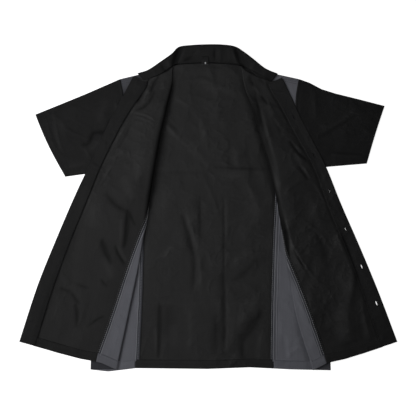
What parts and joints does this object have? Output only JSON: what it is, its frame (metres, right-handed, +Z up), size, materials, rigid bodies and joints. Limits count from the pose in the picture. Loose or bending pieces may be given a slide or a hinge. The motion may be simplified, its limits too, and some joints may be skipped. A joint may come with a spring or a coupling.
{
  "type": "short-sleeved two-tone work shirt, laid open",
  "caption": "Work shirt with a one-piece collar and grey side panels, lying on its back with both fronts turned back so that the inside of the body shows.",
  "frame": {"origin": "on the table under the middle of the laid-out shirt, at the centre of its bounding box", "axes": "+X across the shirt to the viewer's right (the wearer's left), +Y from the hem to the collar, +Z up from the table"},
  "size_m": [0.943, 0.8167, 0.0131],
  "materials": {
    "black_poplin": "matt black poplin with a fine plain weave and a slight dry sheen on the folds",
    "grey_poplin": "matt charcoal-grey poplin of the same weave",
    "black_facing": "the outer face of the black poplin, deeper black than its inner face",
    "label_tape": "black woven tape",
    "button_resin": "black cast resin, softly polished"
  },
  "bodies": {
    "root": {"back_centre": "black_poplin", "back_side_right": "grey_poplin", "back_side_left": "grey_poplin", "front_right": "black_poplin", "front_left": "black_poplin", "front_side_right": "grey_poplin", "front_side_left": "grey_poplin", "facing_right": "black_facing", "facing_left": "black_facing", "sleeve_right": "black_poplin", "sleeve_left": "black_poplin", "collar": "black_facing", "size_label": "label_tape", "button_1": "button_resin", "button_2": "button_resin", "button_3": "button_resin", "button_4": "button_resin", "button_5": "button_resin", "button_6": "button_resin"}
  },
  "joints": []
}
